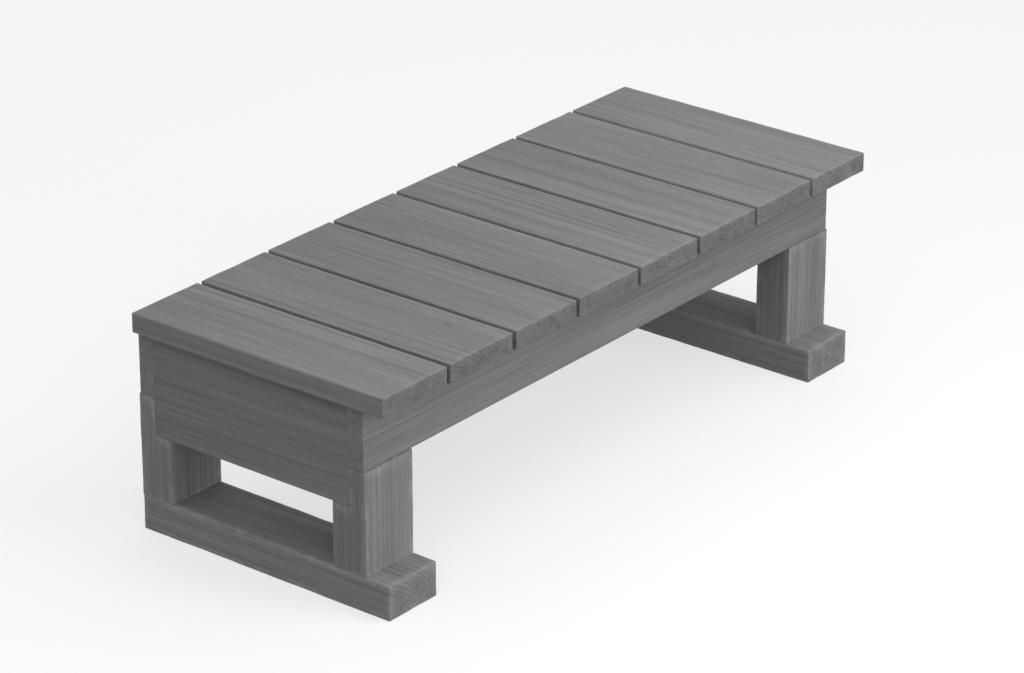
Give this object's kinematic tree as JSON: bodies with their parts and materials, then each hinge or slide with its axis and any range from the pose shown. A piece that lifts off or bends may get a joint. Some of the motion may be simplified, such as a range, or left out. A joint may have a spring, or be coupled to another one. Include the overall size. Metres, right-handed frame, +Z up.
{
  "type": "spa steps",
  "caption": "Low slatted timber step for a hot tub: grey-stained deck slats on a post-and-rail frame with open ends and two foot rails.",
  "frame": {"origin": "on the ground under the middle of the step", "axes": "+X along the step's length, +Y from the side that people step up from towards the tub, +Z up"},
  "size_m": [0.755, 0.311, 0.23],
  "materials": {
    "deck_timber": "matt grey stain, fine straight grain",
    "frame_timber": "matt grey stain, fine straight grain",
    "screw_steel": "plain stainless"
  },
  "bodies": {
    "root": {"deck_slat_1": "deck_timber", "deck_slat_2": "deck_timber", "deck_slat_3": "deck_timber", "deck_slat_4": "deck_timber", "deck_slat_5": "deck_timber", "deck_slat_6": "deck_timber", "deck_slat_7": "deck_timber", "deck_slat_8": "deck_timber", "front_rail": "frame_timber", "rear_rail": "frame_timber", "left_end_board": "frame_timber", "right_end_board": "frame_timber", "left_foot_rail": "frame_timber", "right_foot_rail": "frame_timber", "left_front_post": "frame_timber", "left_rear_post": "frame_timber", "right_front_post": "frame_timber", "right_rear_post": "frame_timber", "front_deck_cleat": "frame_timber", "rear_deck_cleat": "frame_timber", "left_deck_cleat": "frame_timber", "right_deck_cleat": "frame_timber", "deck_screw_1": "screw_steel", "deck_screw_2": "screw_steel", "deck_screw_3": "screw_steel", "deck_screw_4": "screw_steel", "deck_screw_5": "screw_steel", "deck_screw_6": "screw_steel", "deck_screw_7": "screw_steel", "deck_screw_8": "screw_steel", "deck_screw_9": "screw_steel", "deck_screw_10": "screw_steel", "deck_screw_11": "screw_steel", "deck_screw_12": "screw_steel", "deck_screw_13": "screw_steel", "deck_screw_14": "screw_steel", "deck_screw_15": "screw_steel", "deck_screw_16": "screw_steel", "cleat_screw_1": "screw_steel", "cleat_screw_2": "screw_steel", "cleat_screw_3": "screw_steel", "cleat_screw_4": "screw_steel", "cleat_screw_5": "screw_steel", "cleat_screw_6": "screw_steel", "rail_screw_1": "screw_steel", "rail_screw_2": "screw_steel", "rail_screw_3": "screw_steel", "rail_screw_4": "screw_steel", "board_screw_1": "screw_steel", "board_screw_2": "screw_steel", "board_screw_3": "screw_steel", "board_screw_4": "screw_steel", "foot_screw_1": "screw_steel", "foot_screw_2": "screw_steel", "foot_screw_3": "screw_steel", "foot_screw_4": "screw_steel", "foot_screw_5": "screw_steel", "foot_screw_6": "screw_steel", "foot_screw_7": "screw_steel", "foot_screw_8": "screw_steel"}
  },
  "joints": []
}
